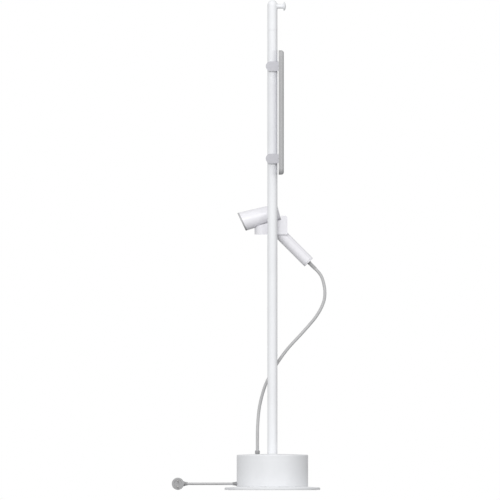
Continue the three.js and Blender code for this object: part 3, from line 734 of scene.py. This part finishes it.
def plate(name, x0, x1, rim, edge=0.0, steps=3, radius=None):
    """A sheet between two depths, inset by rim. Its corners follow the panel's unless radius is given."""
    size = high("panel_frame") - low("panel_frame")
    w, h = size.y / 2 - rim, size.z / 2 - rim
    turn = PANEL_CORNER - rim if radius is None else radius
    points = outline([(-w, -h, turn), (w, -h, turn), (w, h, turn), (-w, h, turn)], True, 12)
    return prism(name, points, x1 - x0, panel_place(x0), edge, steps)


def make_panel_back():
    back, seam = low("panel_back").x, high("panel_back").x
    shell = plate("panel_tray", back, seam, 0)
    carve(shell, plate("hollow", back + 2.4 * MM, seam + 1 * MM, 2.6 * MM))
    soften(shell, 1.1 * MM)
    carve(shell, plate("sheet_recess", back - 1 * MM, back + 0.8 * MM, 4 * MM))
    soften(shell, 0.2 * MM, 2)
    dress(shell, "mirror", GREY_PLASTIC, "grey_plastic", "panel_back")
    sheet = plate("panel_back_sheet", back + 0.1 * MM, back + 0.75 * MM, 4.3 * MM, 0.2 * MM)
    dress(sheet, "mirror", WHITE_PLASTIC, "white_plastic")


def make_panel_front():
    start, front = low("panel_frame").x, high("panel_frame").x
    back = low("panel_back").x
    # The front's rim is rounded over its whole depth: a thick slab, rounded, then cut at the seam.
    bezel = plate("panel_bezel", start - 12 * MM, front, 0, 8.4 * MM, 10)
    carve(bezel, slab("behind", -0.3, 0.3, -0.3, 0.3, -0.1, 0, panel_place(start)))
    carve(bezel, plate("window", back, front + 5 * MM, 22 * MM, radius=6 * MM))
    carve(bezel, plate("rebate", back, 34 * MM, 15 * MM, radius=8 * MM))
    soften(bezel, 0.7 * MM)
    dress(bezel, "mirror", FRAME_PLASTIC, "grey_plastic", "panel_frame")
    pane_back, pane_front = low("mirror_glass").x, high("mirror_glass").x
    glass = plate("mirror_pane", pane_back, pane_front, 15.4 * MM, 0.4 * MM, radius=7.6 * MM)
    dress(glass, "mirror", MIRROR_SILVER, "mirror", "mirror_glass")


def make_clamps():
    for which in ("upper", "lower"):
        node = f"clamp_block_{which}"
        lo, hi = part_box(node)
        z = (lo.z + hi.z) / 2
        radius = (hi.z - lo.z) / 2
        centre = lo.x + radius
        points = arc(centre, 0, radius, 90, 270, 28)
        points += [(hi.x, -radius), (hi.x, radius)]
        block = prism(f"clamp_body_{which}", points, hi.y - lo.y, from_side(hi.y, z))
        screw_place = place_at((0, 0, z), (-1, 0, 0), UP)
        carve(block, rod("bore", POLE_CLEARANCE, lo.z - 10 * MM, hi.z + 10 * MM))
        carve(block, rod("grub_hole", 3.3 * MM, 10 * MM, 30 * MM, screw_place, 40))
        soften(block, 1 * MM)
        dress(block, "mirror", CLAMP_GREY, "clamp_grey", node)
        grub_end = -low(f"clamp_grub_{which}").x
        grub = turned(f"grub_screw_{which}", [
            (0, POLE_CLEARANCE), (2.6 * MM, POLE_CLEARANCE), (3 * MM, 17 * MM),
            (3 * MM, grub_end - 0.5 * MM), (2.6 * MM, grub_end), (0, grub_end),
        ], screw_place, turns=48)
        hexagon = arc(0, 0, 1.7 * MM, 0, 300, 5)
        socket_place = screw_place @ Matrix.Translation((0, 0, grub_end - 2.4 * MM))
        carve(grub, prism("socket", hexagon, 4 * MM, socket_place))
        dress(grub, "mirror", STEEL, "steel", f"clamp_grub_{which}")


# ---------------------------------------------------------------- fork

def barrel_radius(distance):
    return BARREL_FRONT_RADIUS + (BARREL_REAR_RADIUS - BARREL_FRONT_RADIUS) * distance / BARREL_LENGTH


def cone(name, start, end, extra):
    return turned(name, [
        (0, start), (barrel_radius(start) + extra, start), (barrel_radius(end) + extra, end), (0, end),
    ], BARREL)


def make_cradle():
    lo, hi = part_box("cradle")
    half = hi.y - HAND_PLANE
    inner = half - 6 * MM
    bend = lo.x + half
    plan = [(hi.x, HAND_PLANE - half), (hi.x, HAND_PLANE - inner)]
    plan += arc(bend, HAND_PLANE, inner, 270, 90, 32)
    plan += [(hi.x, HAND_PLANE + inner), (hi.x, HAND_PLANE + half)]
    plan += arc(bend, HAND_PLANE, half, 90, 270, 40)
    fork = prism("cradle_fork", plan, 90 * MM, place_at((0, 0, lo.z - 8 * MM), UP))
    lug = 28 * MM
    side = outline([
        (lo.x - 5 * MM, lo.z), (hi.x, lo.z, 2 * MM), (hi.x, hi.z, 7.5 * MM), (lug, hi.z, 2.5 * MM),
        (lug, 864.5 * MM, 3 * MM), (-17 * MM, 854.5 * MM, 30 * MM), (-45 * MM, 846 * MM, 20 * MM),
        (lo.x - 5 * MM, 837 * MM),
    ], True, 8)
    combine(fork, "INTERSECT", prism("side", side, 100 * MM, from_side(HAND_PLANE + 50 * MM, 0)))
    boss_end = HAND_PLANE - half + 2 * MM
    weld(fork, slab("boss", -11 * MM, 11 * MM, 8 * MM, boss_end, 822 * MM, 852 * MM, edge=3 * MM))
    carve(fork, rod("seat", POLE_CLEARANCE, lo.z - 10 * MM, hi.z + 10 * MM))
    carve(fork, cone("rest", -9 * MM, BARREL_LENGTH + 1 * MM, 0.5 * MM))
    soften(fork, 1.3 * MM, 4)
    dress(fork, "stand", WHITE_PLASTIC, "white_plastic", "cradle")


# ---------------------------------------------------------------- hand piece

def slanted(fade_from, fade_to):
    """Leans a turned barrel piece's front: all of it up to fade_from, none of it after fade_to."""
    def shape(point, turn):
        share = (fade_to - point.z) / (fade_to - fade_from)
        share = max(0.0, min(1.0, share))
        return Vector((point.x, point.y, point.z + math.tan(MOUTH_SLANT) * point.x * share))
    return shape


def make_barrel():
    wall = 2 * MM
    rear = BARREL_SEAM
    ring = OUTLET_DEPTH
    lean = slanted(8 * MM, 60 * MM)
    heights = [8, 16, 24, 32, 42, 52, 62, 90]
    outer = [(barrel_radius(h * MM), h * MM) for h in heights]
    inner = [(barrel_radius(h * MM) - wall, h * MM) for h in reversed(heights)]
    shell = turned("barrel_tube", [
        (barrel_radius(ring) - wall, ring), (barrel_radius(ring), ring, 0.4 * MM), *outer,
        (barrel_radius(rear), rear, 0.3 * MM), (20 * MM, rear), (20 * MM, rear - wall),
        (barrel_radius(rear) - wall, rear - wall), *inner,
    ], BARREL, closed=True, turns=144, shape=lean)
    dress(shell, "hand_piece", WHITE_PLASTIC, "white_plastic", "barrel_shell")


def make_outlet():
    front = BARREL_FRONT_RADIUS
    ring = OUTLET_DEPTH
    lean = slanted(20 * MM, 60 * MM)
    collar = turned("outlet_collar", [
        (front - 0.25 * MM, ring - 0.3 * MM, 0.2 * MM), (front - 0.15 * MM, 0.6 * MM, 1 * MM),
        (front - 1.6 * MM, 0, 0.9 * MM), (front - 3.4 * MM, 0.4 * MM, 0.8 * MM),
        (front - 4.2 * MM, 3 * MM), (front - 4.4 * MM, 16 * MM), (front - 2.9 * MM, 16 * MM),
        (front - 2.6 * MM, ring - 0.3 * MM),
    ], BARREL, closed=True, turns=144, shape=lean)
    dress(collar, "hand_piece", RIM_GREY, "dark_plastic", "outlet_ring")
    grille_parts = []
    for radius in (6, 11, 16, 21):
        inside, outside = (radius - 0.6) * MM, (radius + 0.6) * MM
        grille_parts.append(turned("ring", [
            (inside, 3 * MM, 0.3 * MM), (outside, 3 * MM, 0.3 * MM),
            (outside, 5 * MM, 0.3 * MM), (inside, 5 * MM, 0.3 * MM),
        ], BARREL, closed=True, turns=72, shape=lean))
    shear = Matrix.Identity(4)
    shear[2][0] = math.tan(MOUTH_SLANT)
    for turn in range(0, 180, 45):
        spoke_place = BARREL @ shear @ Matrix.Rotation(math.radians(turn), 4, "Z")
        grille_parts.append(slab("spoke", -27 * MM, 27 * MM, -0.7 * MM, 0.7 * MM, 3.2 * MM, 5.2 * MM,
                                 spoke_place, 0.3 * MM))
    grille = join(*grille_parts)
    grille.name = "outlet_grille"
    dress(grille, "hand_piece", BLACK_PLASTIC, "dark_plastic")


def make_intake():
    rear = BARREL_SEAM
    rim = barrel_radius(rear)
    end = BARREL_LENGTH
    cover = turned("intake_rim", [
        (rim - 0.4 * MM, rear + 0.3 * MM, 0.2 * MM), (rim, rear + 0.6 * MM, 0.3 * MM),
        (rim, end, 1.5 * MM), (rim - 3.6 * MM, end + 0.5 * MM, 0.6 * MM),
        (rim - 3.9 * MM, end - 1.2 * MM), (19.6 * MM, end - 1.2 * MM), (19.6 * MM, rear - 3 * MM),
        (18 * MM, rear - 3 * MM), (18 * MM, rear + 0.3 * MM),
    ], BARREL, closed=True, turns=120)
    bars = []
    for radius in (4, 7.5, 11, 14.5, 18, 21.3):
        inside, outside = (radius - 0.7) * MM, (radius + 0.7) * MM
        bars.append(turned("bar", [
            (inside, end - 1.4 * MM, 0.3 * MM), (outside, end - 1.4 * MM, 0.3 * MM),
            (outside, end + 0.2 * MM, 0.6 * MM), (inside, end + 0.2 * MM, 0.6 * MM),
        ], BARREL, closed=True, turns=80))
    for turn in range(0, 180, 30):
        rib_place = BARREL @ Matrix.Rotation(math.radians(turn), 4, "Z")
        bars.append(slab("rib", -23.4 * MM, 23.4 * MM, -0.8 * MM, 0.8 * MM, end - 1.8 * MM, end - 0.2 * MM,
                         rib_place, 0.3 * MM))
    cover = join(cover, *bars)
    dress(cover, "hand_piece", WHITE_PLASTIC, "white_plastic", "rear_cover")


def far_side(distance):
    """A frame on the grip's side away from the pole: own Z points outward, own X along the grip."""
    return place_at(CROSSING + GRIP_AXIS * distance, ALONG_Y, GRIP_AXIS)


def seam_groove(point, turn):
    """A fine parting line along the grip's upper and lower edge."""
    across = abs(math.sin(turn))
    if across < 0.02 and point.xy.length > GRIP_RADIUS - 1.5 * MM:
        return Vector((point.x * 0.983, point.y, point.z))
    return point


def make_grip():
    wall = 2 * MM
    cap_seam = GRIP_CAP_SEAM
    shell = turned("grip_tube", [
        (GRIP_RADIUS - wall, 26 * MM), (GRIP_RADIUS, 26 * MM),
        (GRIP_RADIUS, cap_seam - 0.6 * MM, 0.4 * MM), (GRIP_RADIUS - 0.5 * MM, cap_seam - 0.3 * MM),
        (GRIP_RADIUS - wall, cap_seam - 0.3 * MM),
    ], GRIP, closed=True, turns=180, shape=seam_groove)
    track = outline([(-16.3 * MM, -4.3 * MM, 1.5 * MM), (8.3 * MM, -4.3 * MM, 1.5 * MM),
                     (8.3 * MM, 4.3 * MM, 1.5 * MM), (-16.3 * MM, 4.3 * MM, 1.5 * MM)], True)
    track_place = far_side(SLIDER_REACH) @ Matrix.Translation((0, 0, 12 * MM))
    carve(shell, prism("track", track, 10 * MM, track_place))
    carve(shell, rod("hole", 6.3 * MM, 12 * MM, 22 * MM, far_side(BUTTON_REACH), 64))
    dress(shell, "hand_piece", WHITE_PLASTIC, "white_plastic", "grip_shell")
    cap = turned("grip_end", [
        (6.8 * MM, cap_seam - 10 * MM), (16.6 * MM, cap_seam - 10 * MM), (16.6 * MM, cap_seam),
        (GRIP_RADIUS - 0.5 * MM, cap_seam), (GRIP_RADIUS, cap_seam + 0.4 * MM, 0.3 * MM),
        (GRIP_RADIUS, GRIP_LENGTH, 1.6 * MM), (9.6 * MM, GRIP_LENGTH, 0.4 * MM),
        (9 * MM, GRIP_LENGTH - 0.8 * MM, 0.3 * MM), (6.8 * MM, GRIP_LENGTH - 0.8 * MM),
    ], GRIP, closed=True, turns=120)
    dress(cap, "hand_piece", WHITE_PLASTIC, "white_plastic", "grip_end_cap")


def make_boot():
    cap_seam = GRIP_CAP_SEAM
    tip = GRIP_LENGTH + BOOT_LENGTH
    boot_start = GRIP_LENGTH + 1.5 * MM
    boot = turned("cable_sleeve", [
        (0, cap_seam - 14 * MM), (9 * MM, cap_seam - 14 * MM), (9 * MM, cap_seam - 10.3 * MM),
        (6.5 * MM, cap_seam - 10.3 * MM), (6.5 * MM, GRIP_LENGTH),
        *taper(6.5 * MM, 5.8 * MM, boot_start, tip - 0.5 * MM, 72),
        (5.5 * MM, tip, 0.2 * MM), (0, tip),
    ], GRIP, turns=64, shape=ribbed(7, GRIP_LENGTH + 4 * MM, tip - 2 * MM, 0.13))
    dress(boot, "hand_piece", DARK_PLASTIC, "dark_plastic", "cable_boot")


def make_controls():
    slider_place = far_side(SLIDER_REACH)
    slider = slab("slider", -16 * MM, -4 * MM, -4 * MM, 4 * MM, 12.6 * MM, 19.5 * MM,
                  slider_place, 0.8 * MM)
    ridges = [
        slab("ridge", (reach - 0.7) * MM, (reach + 0.7) * MM, -3.4 * MM, 3.4 * MM, 18.6 * MM, 20.6 * MM,
             slider_place, 0.5 * MM)
        for reach in (-13, -10, -7)
    ]
    shoe = slab("shoe", -30 * MM, 9.5 * MM, -6.4 * MM, 6.4 * MM, 12.6 * MM, 14.4 * MM,
                slider_place, 0.4 * MM)
    slider = join(slider, shoe, *ridges)
    slider.name = "slider_key"
    dress(slider, "switch", GREY_PLASTIC, "grey_plastic", "power_slider")
    button = turned("cool_key", [
        (0, 12.4 * MM), (7.4 * MM, 12.4 * MM), (7.4 * MM, 14.2 * MM), (6 * MM, 14.2 * MM),
        (6 * MM, 21.2 * MM, 1.2 * MM), (3 * MM, 20.8 * MM, 3 * MM), (0, 20.6 * MM),
    ], far_side(BUTTON_REACH), turns=64)
    dress(button, "button", GREY_PLASTIC, "grey_plastic", "cool_button")


# ---------------------------------------------------------------- plug

def make_plug():
    lo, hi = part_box("plug_body")
    radius = (hi.z - lo.z) / 2
    x = lo.x + radius
    face, back = lo.y, hi.y
    place = place_at((x, 0, MAINS_HEIGHT), ALONG_Y, ALONG_X)
    body = turned("plug_shell", [
        (0, face + 1.2 * MM), (12.5 * MM, face + 1.2 * MM), (13.2 * MM, face, 0.3 * MM),
        (radius, face, 1.4 * MM), (radius, face + 16 * MM, 0.5 * MM),
        (radius - 0.7 * MM, face + 17 * MM, 0.5 * MM), (radius - 0.7 * MM, back, 3 * MM),
        (0, back),
    ], place, turns=120)
    corner_turn = Matrix.Rotation(math.radians(-45), 4, "Z")
    chamfer = Matrix.Translation((x - 4 * MM, back, MAINS_HEIGHT)) @ corner_turn
    carve(body, slab("corner", -60 * MM, 0, -40 * MM, 40 * MM, -40 * MM, 40 * MM, chamfer))
    soften(body, 0.8 * MM)
    relief_place = place_at((x, 0, MAINS_HEIGHT), ALONG_X, UP)
    tip = hi.x - x
    relief = turned("relief", [
        (0, 4 * MM), (8 * MM, 4 * MM), (8 * MM, 20.6 * MM, 0.8 * MM),
        *taper(7.3 * MM, 5.2 * MM, 21 * MM, tip - 0.4 * MM, 40), (4.8 * MM, tip), (0, tip),
    ], relief_place, turns=64, shape=ribbed(4, 21.5 * MM, tip - 1 * MM, 0.13))
    body = join(body, relief)
    dress(body, "stand", PLUG_PLASTIC, "dark_plastic", "plug_body")
    pins = []
    for which in ("upper", "lower"):
        node = f"plug_pin_{which}"
        pin_lo, pin_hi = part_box(node)
        pin_place = place_at((x, face, (pin_lo.z + pin_hi.z) / 2), (0, -1, 0), ALONG_X)
        pin = turned(f"pin_{which}", [
            (0, -11.5 * MM), (2.4 * MM, -11.5 * MM), (2.4 * MM, 15.6 * MM, 2 * MM),
            (1.5 * MM, 18.6 * MM, 0.8 * MM), (0, 19 * MM),
        ], pin_place, turns=40)
        pins.append(dress(pin, "stand", PIN_METAL, "brass", node))
    return body, pins


# ---------------------------------------------------------------- carried-over nodes

def dress_hidden_nodes():
    looks = {
        STEEL: ["socket_flange", "fan_motor", "cradle_screw_1", "cradle_screw_2",
                *(f"socket_bolt_{i}" for i in range(1, 5)), *(f"cover_screw_{i}" for i in range(1, 5)),
                *(f"panel_screw_{a}_{b}" for a in ("upper", "lower") for b in ("near", "far"))],
        IRON: ["ballast_ring"],
        GREY_PLASTIC: ["terminal_block", "supply_module"],
        DARK_PLASTIC: ["gland_nut"],
        BLACK_PLASTIC: ["motor_mount", "fan_impeller"],
        FOAM: ["air_filter"],
        CERAMIC: ["heater_core"],
        BOARD: ["grip_board"],
        HARDBOARD: ["backing_board"],
    }
    for look, names in looks.items():
        for name in names:
            node = NODES[name]
            if not node.data.materials:
                node.data.materials.append(look)
            for slot in node.material_slots:
                slot.material = look


# ---------------------------------------------------------------- stage and light

def make_stage():
    """Pale floor. It doesn't throw light up: the undersides stay as dark as in an open studio."""
    mesh = bmesh.new()
    bmesh.ops.create_circle(mesh, cap_ends=True, radius=FLOOR_RADIUS, segments=64)
    bmesh.ops.translate(mesh, verts=mesh.verts, vec=(0, 0, -0.1 * MM))
    floor = to_object("studio_floor", mesh)
    floor.data.materials.append(floor_paper())
    floor.visible_diffuse = False


def add_softbox(name, location, size, power):
    """A round lamp, far enough away to light the floor alike on every side of the object."""
    data = bpy.data.lights.new(name, "AREA")
    data.shape = "DISK"
    data.size = size
    data.energy = power
    light = bpy.data.objects.new(name, data)
    light.location = location
    light.rotation_euler = (Vector(location) - LAMP_AIM).to_track_quat("Z", "Y").to_euler()
    bpy.context.scene.collection.objects.link(light)


def make_world():
    """White behind the object. The light comes mostly from the front and above, a little from the left."""
    world = bpy.data.worlds.new("studio")
    bpy.context.scene.world = world
    world.use_nodes = True
    tree = world.node_tree
    tree.nodes.clear()

    def math_node(operation, *values):
        node = tree.nodes.new("ShaderNodeMath")
        node.operation = operation
        for target, value in zip(node.inputs, values):
            if isinstance(value, bpy.types.NodeSocket):
                tree.links.new(value, target)
            else:
                target.default_value = value
        return node.outputs["Value"]

    direction = tree.nodes.new("ShaderNodeSeparateXYZ")
    place = tree.nodes.new("ShaderNodeTexCoord")
    tree.links.new(place.outputs["Generated"], direction.inputs["Vector"])
    right, back, up = (direction.outputs[name] for name in "XYZ")
    front = math_node("MAXIMUM", math_node("MULTIPLY", back, -1), 0)
    light = math_node("MULTIPLY_ADD", front, LIGHT_FRONT, LIGHT_ALL_ROUND)
    light = math_node("MULTIPLY_ADD", right, -LIGHT_LEFT, light)
    light = math_node("MULTIPLY_ADD", math_node("MAXIMUM", up, 0), LIGHT_ABOVE, light)
    light = math_node("MULTIPLY_ADD", math_node("MINIMUM", up, 0), LIGHT_LOST_BELOW, light)
    light = math_node("MAXIMUM", light, LIGHT_LEAST)
    given = tree.nodes.new("ShaderNodeBackground")
    tree.links.new(light, given.inputs["Strength"])
    given.inputs["Color"].default_value = (1, 1, 1, 1)
    seen = tree.nodes.new("ShaderNodeBackground")
    seen.inputs["Color"].default_value = (1, 1, 1, 1)
    choice = tree.nodes.new("ShaderNodeMixShader")
    out = tree.nodes.new("ShaderNodeOutputWorld")
    # A clean mirror shows the same white as the background.
    ray = tree.nodes.new("ShaderNodeLightPath")
    white = math_node("MAXIMUM", ray.outputs["Is Camera Ray"], ray.outputs["Is Singular Ray"])
    tree.links.new(white, choice.inputs["Fac"])
    tree.links.new(given.outputs["Background"], choice.inputs[1])
    tree.links.new(seen.outputs["Background"], choice.inputs[2])
    tree.links.new(choice.outputs["Shader"], out.inputs["Surface"])
    bpy.context.scene.view_settings.view_transform = "Standard"


add_camera()
mains, mains_route = make_cords()
make_base()
make_bushing()
make_gland()
make_pole()
make_peg()
make_panel_back()
make_panel_front()
make_clamps()
make_cradle()
make_barrel()
make_outlet()
make_intake()
make_grip()
make_boot()
make_controls()
plug, plug_pins = make_plug()
dress_hidden_nodes()
make_stage()
make_world()
add_softbox("key", location=(-1.6, -8.2, 4.6), size=4.1, power=315)
add_softbox("fill", location=(6.0, -7.0, 1.8), size=3.4, power=86)
